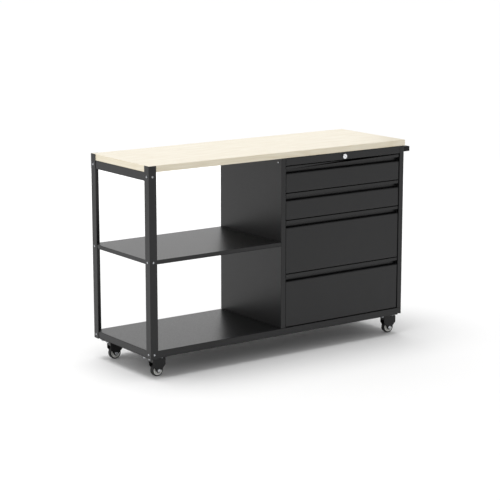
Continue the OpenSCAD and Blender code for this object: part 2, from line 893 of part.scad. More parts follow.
module tyre(n) {
    color(tyre_black) bench() caster(n) translate([caster_trail, 0, axle_z]) along_y()
        rotate_extrude() {
            translate([core_d / 2, -wheel_w / 2])
                square([wheel_d / 2 - core_d / 2 - tyre_round, wheel_w]);
            translate([wheel_d / 2 - tyre_round - eps, tyre_round - wheel_w / 2])
                square([tyre_round + eps, wheel_w - 2 * tyre_round]);
            for (side = [-1, 1])
                translate([wheel_d / 2 - tyre_round, side * (wheel_w / 2 - tyre_round)])
                    circle(r = tyre_round);
        }
}

worktop();
worktop_screws();
post_front_left();
post_rear_left();
end_rail();
mid_shelf();
base_shelf();
caster_channels();
cabinet_left_side();
cabinet_right_side();
cabinet_back();
cabinet_top_rail();
slide_uprights();
frame_bolts();
frame_nuts();
push_handle();
handle_bolts();
lock_body();
lock_nut();
lock_plug();
lock_cam();
drawer_front(1);  // drawer_front_1
drawer_front(2);  // drawer_front_2
drawer_front(3);  // drawer_front_3
drawer_front(4);  // drawer_front_4
drawer_tray(1);  // drawer_tray_1
drawer_tray(2);  // drawer_tray_2
drawer_tray(3);  // drawer_tray_3
drawer_tray(4);  // drawer_tray_4
slide_outer(1);  // slide_outer_1
slide_outer(2);  // slide_outer_2
slide_outer(3);  // slide_outer_3
slide_outer(4);  // slide_outer_4
slide_middle(1);  // slide_middle_1
slide_middle(2);  // slide_middle_2
slide_middle(3);  // slide_middle_3
slide_middle(4);  // slide_middle_4
slide_inner(1);  // slide_inner_1
slide_inner(2);  // slide_inner_2
slide_inner(3);  // slide_inner_3
slide_inner(4);  // slide_inner_4
caster_plates();
caster_bolts();
caster_nuts();
caster_fork(1);  // caster_fork_1
caster_fork(2);  // caster_fork_2
caster_fork(3);  // caster_fork_3
caster_fork(4);  // caster_fork_4
axle(1);  // axle_1
axle(2);  // axle_2
axle(3);  // axle_3
axle(4);  // axle_4
wheel_core(1);  // wheel_core_1
wheel_core(2);  // wheel_core_2
wheel_core(3);  // wheel_core_3
wheel_core(4);  // wheel_core_4
tyre(1);  // tyre_1
tyre(2);  // tyre_2
tyre(3);  // tyre_3
tyre(4);  // tyre_4
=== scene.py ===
"""Mobile workbench: a maple top on a black frame, two open shelves and four drawers.

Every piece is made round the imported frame, in metres, with its place in its mesh.
"""
import json
import math

import bmesh
import bpy
from mathutils import Matrix, Vector


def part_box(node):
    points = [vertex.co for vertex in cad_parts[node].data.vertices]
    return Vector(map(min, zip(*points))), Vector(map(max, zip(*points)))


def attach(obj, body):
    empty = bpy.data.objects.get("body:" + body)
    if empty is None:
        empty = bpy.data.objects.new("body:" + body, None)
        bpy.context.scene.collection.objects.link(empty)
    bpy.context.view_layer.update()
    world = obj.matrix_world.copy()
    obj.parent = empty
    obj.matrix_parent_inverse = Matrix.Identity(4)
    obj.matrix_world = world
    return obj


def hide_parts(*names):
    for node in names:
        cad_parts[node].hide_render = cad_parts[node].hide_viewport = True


bl_info = {
    "name": "Mobile workbench",
    "version": (1, 0, 0),
    "blender": (4, 5, 0),
    "location": "View3D > Sidebar > Workbench",
    "description": "Makes a mobile workbench with shelves, drawers, a push handle and casters",
    "category": "Add Mesh",
}

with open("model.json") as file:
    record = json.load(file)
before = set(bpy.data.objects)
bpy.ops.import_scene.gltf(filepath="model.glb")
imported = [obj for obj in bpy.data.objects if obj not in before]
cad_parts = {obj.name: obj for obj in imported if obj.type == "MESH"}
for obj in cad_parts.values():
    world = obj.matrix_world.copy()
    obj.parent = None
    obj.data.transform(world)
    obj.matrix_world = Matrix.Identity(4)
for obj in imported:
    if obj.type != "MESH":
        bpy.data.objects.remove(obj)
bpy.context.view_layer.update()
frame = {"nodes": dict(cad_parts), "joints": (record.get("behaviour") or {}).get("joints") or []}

MM = 0.001
# points closer than WELD are one point, and faces within FLAT of each other are one face
WELD = 0.02 * MM
FLAT = math.radians(0.6)
# an edge sharper than SHARP can be rounded, and one flatter than SMOOTH is shaded smooth
SHARP = math.radians(50)
SMOOTH = math.radians(38)
# an edge shorter than SHORT belongs to a hole or a curve, and isn't rounded
SHORT = 2.2 * MM
# the inside of a fold is rounded by this share of its outside
INSIDE = 0.4
# sides of a small turned part, and of a large one
SIDES = 24
FINE_SIDES = 48
# M6 nuts measure less than NUT_SPAN over all, and the bolts in a node with them more
NUT_SPAN = 12 * MM
NUT_ACROSS = 10 * MM
M6_RADIUS = 3 * MM
DRAWERS = (1, 2, 3, 4)
CASTERS = (1, 2, 3, 4)
# the studio: how far its floor reaches each way and what its lamps face, in metres, then the
# camera's film width in millimetres and the nearest and farthest that it sees
WHITE = (1, 1, 1, 1)
FLOOR_REACH = 60.0
LAMPS_FACE = Vector((0, 0, 0.5))
FILM_WIDTH = 36.0
CLIP = (0.1, 200.0)


def linear(code):
    """An sRGB hex colour as linear red, green and blue."""
    channels = [int(code[i:i + 2], 16) / 255 for i in (1, 3, 5)]
    return tuple(c / 12.92 if c <= 0.04045 else ((c + 0.055) / 1.055) ** 2.4 for c in channels)


def size(name, about, default):
    """A length that a user may change, in metres."""
    return bpy.props.FloatProperty(
        name=name, description=about, default=default, min=0, precision=5, unit="LENGTH")


def colour(name, about, code):
    """A colour that a user may change."""
    return bpy.props.FloatVectorProperty(
        name=name, description=about, default=linear(code), subtype="COLOR", min=0, max=1)


def amount(name, about, default):
    """A plain number that a user may change."""
    return bpy.props.FloatProperty(name=name, description=about, default=default)


# ---- settings ----

class WorktopSettings(bpy.types.PropertyGroup):
    edge_round: size("Edge round", "Radius sanded on the worktop's edges", 2 * MM)
    light_wood: colour("Light wood", "Pale early wood of the maple", "#ece4d0")
    dark_wood: colour("Dark wood", "Growth lines of the maple", "#dccfb2")
    figure_width: size("Figure width", "Spacing of the broad figure across the board", 55 * MM)
    grain_width: size("Grain width", "Spacing of the fine grain lines", 5 * MM)


class SheetSettings(bpy.types.PropertyGroup):
    bend_radius: size("Bend radius", "Outside radius where the sheet is folded", 2 * MM)
    cut_edge: size("Cut edge", "Softening of the sheet's cut edges by the coating", 0.3 * MM)
    sheet: size("Sheet", "Thickest sheet whose edge counts as a cut edge", 2.2 * MM)
    paint: colour("Paint", "Satin black of the powder coat", "#121213")
    paint_light: colour("Paint light", "Lightest patches of the powder coat", "#1a1a1b")


class DrawerSettings(bpy.types.PropertyGroup):
    bend_radius: size("Bend radius", "Outside radius of the folded drawer fronts", 1.2 * MM)
    rim_round: size("Rim round", "Softening of the trays' rims", 0.35 * MM)
    channel_round: size("Channel round", "Outside radius of the rolled slide channels", 0.9 * MM)


class FastenerSettings(bpy.types.PropertyGroup):
    plate_light: colour("Zinc", "Bright zinc plate", "#cccdd0")
    plate_dark: colour("Zinc shade", "Duller patches of the zinc plate", "#a6a9ad")
    thread_pitch: size("Thread pitch", "Distance from thread to thread", 1 * MM)
    thread_depth: size("Thread depth", "Depth of the thread", 0.5 * MM)


class LockSettings(bpy.types.PropertyGroup):
    chrome: colour("Chrome", "Polished chrome plate", "#e9eaec")
    bezel_round: size("Bezel round", "Radius round the lock's rim", 2 * MM)
    keyway_round: size("Keyway round", "Softening of the plug's edges", 0.3 * MM)


class HandleSettings(bpy.types.PropertyGroup):
    tube: size("Tube", "Width of the handle's square tube", 25 * MM)
    tube_edge: size("Tube edge", "Radius along the edges of the square tube", 1.6 * MM)
    weld: size("Weld", "Height of the weld bead at each plate", 3 * MM)
    plate: size("Plate", "Thickness of the handle's plates", 3 * MM)
    plate_width: size("Plate width", "Width of the handle's plates, front to back", 60 * MM)
    plate_height: size("Plate height", "Height of the handle's plates", 40 * MM)
    plate_corner: size("Plate corner", "Radius of the plates' corners", 6 * MM)
    paint: colour("Paint", "Black coating of the handle", "#0a0a0b")


class CasterSettings(bpy.types.PropertyGroup):
    steel: colour("Steel", "Black coating of the forks and plates", "#121213")
    core: colour("Core", "Light grey nylon of the wheel cores", "#ecece9")
    core_shade: colour("Core shade", "Darkest patches of the nylon", "#dadad7")
    tyre: colour("Tyre", "Black rubber of the tyres", "#151516")
    tyre_bloom: colour("Tyre bloom", "Palest, dustiest patches of the rubber", "#202021")
    edge_round: size("Edge round", "Rounding of the pressed steel's edges", 0.8 * MM)
    ribs: bpy.props.IntProperty(
        name="Ribs", description="Ribs on each side of a wheel core", default=8, min=3)
    rib_thickness: size("Rib thickness", "Thickness of a rib on a wheel core", 1.8 * MM)
    groove: size("Groove", "Depth of the tyre's tread grooves", 0.8 * MM)


class StageSettings(bpy.types.PropertyGroup):
    floor: colour("Floor", "White studio floor", "#fdfdfd")
    sky: amount("Sky", "Strength of the light from all round", 0.53)
    key: amount("Key", "Strength of the soft light from above", 1.58)
    side: amount("Side", "Power of the soft box at the open end, in watts", 24)
    back: amount("Back", "Power of the low soft box behind the bench, in watts", 50)
    lens: amount("Lens", "Focal length of the camera, in millimetres", 119.4)
    heading: bpy.props.FloatProperty(
        name="Heading", description="Camera's turn from straight on, towards the cabinet end",
        default=math.radians(35.62), subtype="ANGLE")
    dip: bpy.props.FloatProperty(
        name="Dip", description="Camera's tilt below the horizon",
        default=math.radians(11.68), subtype="ANGLE")
    eye: bpy.props.FloatVectorProperty(
        name="Eye", description="Place of the camera", default=(-4.7188, -6.5303, 2.1487),
        subtype="TRANSLATION", unit="LENGTH")


# ---- nodes and materials ----

def add(tree, kind, values=(), **settings):
    """Adds a node with its settings, and fills its inputs or links them to other nodes."""
    node = tree.nodes.new(kind)
    for name, value in settings.items():
        setattr(node, name, value)
    for name, value in dict(values).items():
        if isinstance(value, bpy.types.NodeSocket):
            tree.links.new(value, node.inputs[name])
        else:
            node.inputs[name].default_value = value
    return node


def new_finish(name):
    """An empty material and its node tree."""
    finish = bpy.data.materials.get(name) or bpy.data.materials.new(name)
    finish.use_nodes = True
    finish.node_tree.nodes.clear()
    return finish, finish.node_tree


def rgba(rgb):
    """A colour with full alpha."""
    return (*rgb, 1.0)


def mottled(name, dark, light, roughness, patch, peel, depth, metallic=0.0, ior=1.5):
    """A material with slow patches of colour, and a fine texture in its gloss and surface.

    patch, peel and depth are real sizes in metres; roughness is a low and a high value.
    """
    finish, tree = new_finish(name)
    place = add(tree, "ShaderNodeTexCoord").outputs["Object"]
    patches = add(tree, "ShaderNodeTexNoise",
                  {"Vector": place, "Scale": 1 / patch, "Detail": 3.0, "Roughness": 0.55})
    texture = add(tree, "ShaderNodeTexNoise",
                  {"Vector": place, "Scale": 1 / peel, "Detail": 2.0, "Roughness": 0.6})
    tint = add(tree, "ShaderNodeMixRGB",
               {"Fac": patches.outputs["Fac"], "Color1": rgba(dark), "Color2": rgba(light)})
    gloss = add(tree, "ShaderNodeMapRange",
                {"Value": texture.outputs["Fac"], "From Min": 0.3, "From Max": 0.7,
                 "To Min": roughness[0], "To Max": roughness[1]})
    bump = add(tree, "ShaderNodeBump",
               {"Height": texture.outputs["Fac"], "Distance": depth, "Strength": 1.0})
    values = {"Base Color": tint.outputs["Color"], "Roughness": gloss.outputs["Result"],
              "Normal": bump.outputs["Normal"], "Metallic": metallic}
    if not metallic:
        values["IOR"] = ior
    shader = add(tree, "ShaderNodeBsdfPrincipled", values)
    add(tree, "ShaderNodeOutputMaterial", {"Surface": shader.outputs["BSDF"]})
    return finish


def drawn_out(tree, along, width, share):
    """Places for a noise of one width, drawn out along the grain: share is width to length."""
    return add(tree, "ShaderNodeMapping", {"Vector": along.outputs["Vector"],
                                           "Scale": (share / width, 1 / width, 1 / width)})


def wood(name, turn):
    """Clear-lacquered maple with its grain along X, or along Y with a quarter turn."""
    made = bpy.context.scene.bench_worktop
    finish, tree = new_finish(name)
    place = add(tree, "ShaderNodeTexCoord").outputs["Object"]
    along = add(tree, "ShaderNodeMapping", {"Vector": place, "Rotation": (0, 0, turn)})
    # the figure runs ten times longer than it is wide, the fine grain forty times
    broad = drawn_out(tree, along, made.figure_width, 0.1)
    fine = drawn_out(tree, along, made.grain_width, 0.025)
    figure = add(tree, "ShaderNodeTexNoise",
                 {"Vector": broad.outputs["Vector"], "Scale": 1.0, "Detail": 2.0,
                  "Distortion": 0.4})
    # a sine over the figure parts it into growth rings
    rings = add(tree, "ShaderNodeMath", {0: figure.outputs["Fac"], 1: 46.0},
                operation="MULTIPLY")
    waves = add(tree, "ShaderNodeMath", {0: rings.outputs["Value"]}, operation="SINE")
    bands = add(tree, "ShaderNodeMapRange",
                {"Value": waves.outputs["Value"], "From Min": -1.0, "To Min": 0.05, "To Max": 0.4})
    streaks = add(tree, "ShaderNodeTexNoise",
                  {"Vector": fine.outputs["Vector"], "Scale": 1.0, "Detail": 4.0,
                   "Roughness": 0.65})
    lines = add(tree, "ShaderNodeMapRange",
                {"Value": streaks.outputs["Fac"], "From Min": 0.35, "From Max": 0.75,
                 "To Min": 0.0, "To Max": 0.5})
    both = add(tree, "ShaderNodeMath",
               {0: bands.outputs["Result"], 1: lines.outputs["Result"]}, operation="ADD",
               use_clamp=True)
    tint = add(tree, "ShaderNodeMixRGB",
               {"Fac": both.outputs["Value"], "Color1": rgba(made.light_wood),
                "Color2": rgba(made.dark_wood)})
    gloss = add(tree, "ShaderNodeMapRange",
                {"Value": streaks.outputs["Fac"], "To Min": 0.34, "To Max": 0.5})
    bump = add(tree, "ShaderNodeBump",
               {"Height": streaks.outputs["Fac"], "Distance": 0.00008, "Strength": 0.6})
    shader = add(tree, "ShaderNodeBsdfPrincipled",
                 {"Base Color": tint.outputs["Color"], "Roughness": gloss.outputs["Result"],
                  "Normal": bump.outputs["Normal"], "IOR": 1.5, "Coat Weight": 0.25,
                  "Coat Roughness": 0.2})
    add(tree, "ShaderNodeOutputMaterial", {"Surface": shader.outputs["BSDF"]})
    return finish


def finishes():
    """Every finish on the bench, by the record's slot."""
    scene = bpy.context.scene
    sheet, zinc = scene.bench_sheet, scene.bench_fasteners
    handle, caster = scene.bench_handle, scene.bench_casters
    chrome = scene.bench_lock.chrome
    return {
        # maple board under clear lacquer: pale, nearly even, with soft lengthwise lines
        "wood_top": wood("lacquered_maple", 0.0),
        # polyester powder coat: satin, with an orange peel about 2 mm from crest to crest,
        # drawn at 4 mm so that it shows
        "powder_coat": mottled(
            "satin_powder_coat", sheet.paint, sheet.paint_light, roughness=(0.3, 0.42),
            patch=160 * MM, peel=4 * MM, depth=0.03 * MM, ior=1.42),
        # a flatter, blacker coating on the square tube
        "handle_paint": mottled(
            "tube_powder_coat", handle.paint, sheet.paint, roughness=(0.36, 0.48),
            patch=90 * MM, peel=4 * MM, depth=0.03 * MM, ior=1.3),
        # electro-coated pressings: thin, smooth and darker than the powder coat
        "caster_steel": mottled(
            "black_coated_pressing", caster.steel, sheet.paint, roughness=(0.3, 0.45),
            patch=30 * MM, peel=2 * MM, depth=0.02 * MM, ior=1.38),
        # zinc-plated cold-rolled channels: dull silver with a faint rolled texture
        "slide_steel": mottled(
            "zinc_plated_channel", zinc.plate_dark, zinc.plate_light, roughness=(0.25, 0.42),
            patch=25 * MM, peel=1.5 * MM, depth=0.01 * MM, metallic=1.0),
        # barrel-plated fasteners: brighter and smoother
        "zinc_hardware": mottled(
            "bright_zinc_plate", zinc.plate_dark, zinc.plate_light, roughness=(0.18, 0.3),
            patch=6 * MM, peel=0.8 * MM, depth=0.005 * MM, metallic=1.0),
        # chrome plate on a die-cast body: a clean mirror with faint polishing haze
        "lock_chrome": mottled(
            "polished_chrome", chrome, chrome, roughness=(0.05, 0.11),
            patch=8 * MM, peel=0.6 * MM, depth=0.002 * MM, metallic=1.0),
        # injection-moulded nylon: slightly milky, with a fine moulded grain
        "wheel_plastic": mottled(
            "moulded_nylon", caster.core_shade, caster.core, roughness=(0.38, 0.5),
            patch=12 * MM, peel=0.8 * MM, depth=0.02 * MM, ior=1.53),
        # moulded rubber: matt, with the dusty bloom of a tread
        "tyre_rubber": mottled(
            "moulded_rubber", caster.tyre, caster.tyre_bloom, roughness=(0.6, 0.8),
            patch=9 * MM, peel=1.2 * MM, depth=0.04 * MM, ior=1.52),
    }


FINISHES = {}


def finish_of(slot):
    """The finish of a slot, made once for each run."""
    if not FINISHES:
        FINISHES.update(finishes())
    return FINISHES[slot]


# ---- shapes ----

def reach(face, edge):
    """How far a face reaches from one of its edges."""
    start = edge.verts[0].co
    along = (edge.verts[1].co - start).normalized()
    return max(((v.co - start) - along * (v.co - start).dot(along)).length for v in face.verts)


def welded(node):
    """A CAD node's mesh as a welded shape."""
    shape = bmesh.new()
    shape.from_mesh(frame["nodes"][node].data)
    bmesh.ops.remove_doubles(shape, verts=shape.verts, dist=WELD)
    return shape


def copy_of(node):
    """A CAD node's mesh as a welded shape with whole flat faces."""
    shape = welded(node)
    bmesh.ops.dissolve_limit(shape, angle_limit=FLAT, verts=shape.verts, edges=shape.edges)
    return shape


def mark_edges(shape, thickness=0.0, cut_share=1.0, small=SHORT):
    """Marks bends to be rounded in full and the sheet's cut edges by a share of it.

    A face narrower than thickness is a cut edge. Edges shorter than small stay as they are.
    """
    mark = shape.edges.layers.float.new("bevel_weight_edge")
    for edge in shape.edges:
        if len(edge.link_faces) != 2 or edge.calc_length() < small:
            continue
        if abs(edge.calc_face_angle(0.0)) < SHARP:
            continue
        if min(reach(face, edge) for face in edge.link_faces) < thickness:
            edge[mark] = cut_share
        else:
            edge[mark] = 1.0 if edge.is_convex else INSIDE


def make(name, shape, slots, body, replaced, bevel=0.0, segments=3):
    """Finishes a shape as a piece on a body, standing for the CAD nodes it replaces.

    slots begins with a slot's name, whose finish the piece takes unless finishes follow it; then
    it takes those instead.
    """
    mesh = bpy.data.meshes.new(name)
    shape.to_mesh(mesh)
    shape.free()
    piece = bpy.data.objects.new(name, mesh)
    bpy.context.scene.collection.objects.link(piece)
    for finish in slots[1:] or [finish_of(slots[0])]:
        mesh.materials.append(finish)
    mesh.shade_smooth()
    mesh.set_sharp_from_angle(angle=SMOOTH)
    if bevel:
        rounding = piece.modifiers.new("Rounding", "BEVEL")
        rounding.limit_method = "WEIGHT"
        rounding.width = bevel
        rounding.segments = segments
        rounding.use_clamp_overlap = False
        rounding.miter_outer = "MITER_ARC"
        evened = piece.modifiers.new("Even shading", "WEIGHTED_NORMAL")
        evened.keep_sharp = True
        settle(piece)
    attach(piece, body)
    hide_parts(*replaced)


def make_zinc(name, shape, node):
    """Finishes a shape as the bench's own zinc-plated hardware."""
    make(name, shape, ["zinc_hardware"], "bench", [node])


def settle(piece):
    """Applies a piece's modifiers and leaves a plain mesh."""
    view = bpy.context.evaluated_depsgraph_get()
    old = piece.data
    made = bpy.data.meshes.new_from_object(piece.evaluated_get(view))
    piece.modifiers.clear()
    piece.data = made
    made.name = piece.name
    bpy.data.meshes.remove(old)


def fold(node, body, slot, bend, cut, suffix):
    """Gives a sheet-metal node its bend radii and softened cut edges."""
    shape = copy_of(node)
    mark_edges(shape, bpy.context.scene.bench_sheet.sheet, cut / bend)
    make(f"{node}_{suffix}", shape, [slot], body, [node], bend)


def turn(shape, profile, place, sides=SIDES, closed=False):
    """Turns a profile of (radius, height) round Z and puts it in place.

    A point that ends in "hex" is on a hexagon, and its radius is half the width across flats.
    """
    rings, flat = [], math.pi / 3
    for radius, height, *outline in profile:
        if radius < WELD:
            rings.append([shape.verts.new(place @ Vector((0, 0, height)))])
            continue
        ring = []
        for step in range(sides):
            angle = 2 * math.pi * step / sides
            reached = radius / math.cos(angle % flat - flat / 2) if outline else radius
            ring.append(shape.verts.new(
                place @ Vector((reached * math.cos(angle), reached * math.sin(angle), height))))
        rings.append(ring)
    pairs = list(zip(rings, rings[1:]))
    if closed:
        pairs.append((rings[-1], rings[0]))
    faces = []
    for low, high in pairs:
        for step in range(sides):
            after = (step + 1) % sides
            corners = [low[step % len(low)], low[after % len(low)],
                       high[after % len(high)], high[step % len(high)]]
            faces.append(shape.faces.new(list(dict.fromkeys(corners))))
    bmesh.ops.recalc_face_normals(shape, faces=faces)


def mirrored(half):
    """A profile down to the middle plane, and on through its mirror image."""
    return [*half, *((radius, -height) for radius, height in reversed(half))]


def arc(centre_r, centre_h, radius, start, end, steps=4):
    """Round profile points on an arc, in degrees, from start to end."""
    return [(centre_r + radius * math.cos(math.radians(a)),
             centre_h + radius * math.sin(math.radians(a)))
            for a in (start + (end - start) * step / steps for step in range(steps + 1))]


def thread(radius, top, bottom):
    """Profile points of a thread from top down to bottom."""
    made = bpy.context.scene.bench_fasteners
    points, height = [], top
    while height - made.thread_pitch > bottom:
        points += [(radius, height),
                   (radius - made.thread_depth, height - made.thread_pitch / 2)]
        height -= made.thread_pitch
    return points + [(radius, height), (radius - made.thread_depth, bottom), (0, bottom)]


def islands(node):
    """The separate solids of a node, each as its low and high corners and its points."""
    shape = welded(node)
    left, found = set(shape.verts), []
    while left:
        group, waiting = set(), [left.pop()]
        while waiting:
            vert = waiting.pop()
            group.add(vert)
            for other in (e.other_vert(vert) for e in vert.link_edges):
                if other in left:
                    left.discard(other)
                    waiting.append(other)
        points = [v.co.copy() for v in group]
        low = Vector(min(p[i] for p in points) for i in range(3))
        high = Vector(max(p[i] for p in points) for i in range(3))
        found.append((low, high, points))
    shape.free()
    return sorted(found, key=lambda one: tuple(round(c, 5) for c in one[0]))


def unit(along, sign=1):
    """A unit vector along X, Y or Z."""
    return Vector([sign if i == along else 0 for i in range(3)])


def girth(points, middle, along, level):
    """How far a solid reaches from its long axis at one level of it."""
    near = 0.05 * MM
    offsets = [p - middle for p in points if abs(p[along] - level) < near]
    return max((offset - unit(along) * offset[along]).length for offset in offsets)


def bolt_seats(node):
    """Each bolt of a node as its head's outer middle, its head's direction and its length."""
    seats = []
    for low, high, points in islands(node):
        spans = high - low
        along = max(range(3), key=lambda i: spans[i])
        if spans[along] < NUT_SPAN:
            continue
        middle = (low + high) / 2
        at_high = (girth(points, middle, along, high[along])
                   > girth(points, middle, along, low[along]))
        tip = middle.copy()
        tip[along] = high[along] if at_high else low[along]
        seats.append((tip, unit(along, 1 if at_high else -1), spans[along]))
    return seats


def nut_seats(node, widest):
    """Each nut of a node, no wider than widest, as its middle, its axis and its height."""
    seats = []
    for low, high, _ in islands(node):
        spans = high - low
        if max(spans) <= widest:
            along = min(range(3), key=lambda i: spans[i])
            seats.append(((low + high) / 2, unit(along), spans[along]))
    return seats


def new_growth(name, inputs):
    """An empty geometry nodes tree and its inputs, given by their names and kinds."""
    tree = bpy.data.node_groups.new(name, "GeometryNodeTree")
    for title, kind in inputs.items():
        tree.interface.new_socket(title, in_out="INPUT", socket_type=f"NodeSocket{kind}")
    tree.interface.new_socket("Grown", in_out="OUTPUT", socket_type="NodeSocketGeometry")
    return tree, add(tree, "NodeGroupInput").outputs


def end_growth(tree, placed, finish):
    """Makes a tree's instances real, gives them their finish and puts them out."""
    real = add(tree, "GeometryNodeRealizeInstances", {"Geometry": placed.outputs["Instances"]})
    done = add(tree, "GeometryNodeSetMaterial",
               {"Geometry": real.outputs["Geometry"], "Material": finish})
    add(tree, "NodeGroupOutput", {"Grown": done.outputs["Geometry"]})
    return tree


def grown(holder, tree, values):
    """The mesh that a geometry nodes tree makes on an object, with its named inputs set."""
    rule = holder.modifiers.new("Grown", "NODES")
    rule.node_group = tree
    keys = {item.name: item.identifier for item in tree.interface.items_tree
            if item.in_out == "INPUT"}
    for title, value in values.items():
        rule[keys[title]] = value
    view = bpy.context.evaluated_depsgraph_get()
    made = bpy.data.meshes.new_from_object(holder.evaluated_get(view))
    if not made.polygons:
        raise RuntimeError(f"{tree.name} came out empty")
    return made


def fastener_tree():
    """Puts a fastener on every point of a mesh, along the point's axis, each turned at random."""
    name = "fasteners_on_points"
    if name in bpy.data.node_groups:
        return bpy.data.node_groups[name]
    tree, given = new_growth(name, {"Places": "Geometry", "Fastener": "Object",
                                    "Finish": "Material", "Seed": "Int"})
    axis = add(tree, "GeometryNodeInputNamedAttribute", {"Name": "axis"},
               data_type="FLOAT_VECTOR")
    aimed = add(tree, "FunctionNodeAlignRotationToVector",
                {"Vector": axis.outputs["Attribute"]}, axis="Z")
    # the node's inputs share their names from type to type: a plain number's largest is the
    # fourth, and its result the second
    spin = add(tree, "FunctionNodeRandomValue", {"Seed": given["Seed"]}, data_type="FLOAT")
    spin.inputs[3].default_value = 2 * math.pi
    turned = add(tree, "FunctionNodeAxisAngleToRotation",
                 {"Axis": (0, 0, 1), "Angle": spin.outputs[1]})
    final = add(tree, "FunctionNodeRotateRotation",
                {"Rotation": aimed.outputs["Rotation"], "Rotate By": turned.outputs["Rotation"]},
                rotation_space="LOCAL")
    fastener = add(tree, "GeometryNodeObjectInfo", {"Object": given["Fastener"]})
    placed = add(tree, "GeometryNodeInstanceOnPoints",
                 {"Points": given["Places"], "Instance": fastener.outputs["Geometry"],
                  "Rotation": final.outputs["Rotation"]})
    return end_growth(tree, placed, given["Finish"])


def scatter(shape, profile, seats, seed):
    """Adds a turned fastener at each seat, a place and an axis, to a shape."""
    pattern = bmesh.new()
    turn(pattern, profile, Matrix.Identity(4))
    template = bpy.data.objects.new("fastener", bpy.data.meshes.new("fastener"))
    pattern.to_mesh(template.data)
    pattern.free()
    places = bpy.data.objects.new("places", bpy.data.meshes.new("places"))
    places.data.from_pydata([seat[0] for seat in seats], [], [])
    axes = places.data.attributes.new("axis", "FLOAT_VECTOR", "POINT")
    for item, seat in zip(axes.data, seats):
        item.vector = seat[1]
    for helper in (template, places):
        bpy.context.scene.collection.objects.link(helper)
    made = grown(places, fastener_tree(),
                 {"Fastener": template, "Finish": finish_of("zinc_hardware"), "Seed": seed})
    shape.from_mesh(made)
    for helper in (template, places):
        bpy.data.objects.remove(helper)
    bpy.data.meshes.remove(made)


def button_profile(length):
    """An M6 button-head bolt with a hexagon socket, its head's top at the origin."""
    head_r, head_h, shank_r = 5.25 * MM, 3.5 * MM, M6_RADIUS
    key, key_depth, rim = 2.1 * MM, 2 * MM, 0.4 * MM
    dome = [(head_r * math.cos(math.radians(a)),
             -head_h + rim + (head_h - rim) * math.sin(math.radians(a)))
            for a in (0, 18, 36, 52)]
    crown = key + 0.6 * MM
    return [(0, -key_depth - 0.4 * MM), (key * 0.98, -key_depth, "hex"),
            (key, -0.15 * MM, "hex"), (crown, 0), *reversed(dome), (head_r, -head_h),
            (shank_r, -head_h), *thread(shank_r, -head_h - 1 * MM, -length)]


def nut_profile(across, height, bore_r):
    """A chamfered hexagon nut centred on the origin, as a closed ring."""
    half, chamfer = height / 2, 0.6 * MM
    return [(bore_r, -half), (across / 2 * 0.97, -half),
            (across / 2, -half + chamfer, "hex"), (across / 2, half - chamfer, "hex"),
            (across / 2 * 0.97, half), (bore_r, half)]


def scatter_nuts(shape, seats, across, bore_r, seed):
    """Adds a chamfered nut at each seat."""
    profile = nut_profile(across, seats[0][2], bore_r)
    scatter(shape, [*profile, profile[0]], seats, seed)


def scatter_buttons(shape, node, seed):
    """Adds a button-head bolt for each bolt of a node, one length after another."""
    bolts = bolt_seats(node)
    for length in sorted({round(seat[2], 4) for seat in bolts}):
        scatter(shape, button_profile(length),
                [seat for seat in bolts if round(seat[2], 4) == length], seed)


def rounded_outline(wide, high, corner, steps, inset=0.0):
    """Points round a box with round corners, from half its width and half its height."""
    points = []
    for quarter, (side, rise) in enumerate(((1, 1), (-1, 1), (-1, -1), (1, -1))):
        for step in range(steps + 1):
            angle = math.radians(90 * (quarter + step / steps))
            points.append((side * (wide - corner) + (corner - inset) * math.cos(angle),
                           rise * (high - corner) + (corner - inset) * math.sin(angle)))
    return points


def skin(shape, rings):
    """Joins each ring of points to the next, and closes the first and the last."""
    faces = [shape.faces.new(rings[0]), shape.faces.new(rings[-1])]
    for one, two in zip(rings, rings[1:]):
        for s in range(len(one)):
            after = (s + 1) % len(one)
            faces.append(shape.faces.new((one[s], one[after], two[after], two[s])))
    bmesh.ops.recalc_face_normals(shape, faces=faces)


def sweep(shape, path, section):
    """A bar along a path in one level plane, mitred at its corners, with closed ends."""
    rings = []
    for i, point in enumerate(path):
        came = (point - path[max(i - 1, 0)]).normalized()
        goes = (path[min(i + 1, len(path) - 1)] - point).normalized()
        across = (came + goes).normalized().cross(Vector((0, 0, 1)))
        if 0 < i < len(path) - 1:
            across /= math.cos(came.angle(goes) / 2)
        rings.append([shape.verts.new(point + across * a + Vector((0, 0, up)))
                      for a, up in section])
    skin(shape, rings)


def rounded_plate(shape, middle, half, corner):
    """A plate lying in the YZ plane with round corners and eased edges."""
    ease = 0.5 * MM
    rings = []
    for x, inset in ((-half.x, 0.0), (half.x - ease, 0.0), (half.x - 0.3 * ease, 0.3 * ease),
                     (half.x, ease)):
        rings.append([shape.verts.new(middle + Vector((x, y, z)))
                      for y, z in rounded_outline(half.y, half.z, corner, 6, inset)])
    skin(shape, rings)


def wheel_place(n):
    """The middle of wheel n, turned so that Z runs along its axle from front to back."""
    axis = next(Vector(j["axis"]) for j in frame["joints"] if j["name"] == f"wheel_{n}_roll")
    low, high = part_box(f"tyre_{n}")
    return Matrix.Translation((low + high) / 2) @ Vector((0, 0, 1)).rotation_difference(
        axis.normalized()).to_matrix().to_4x4()


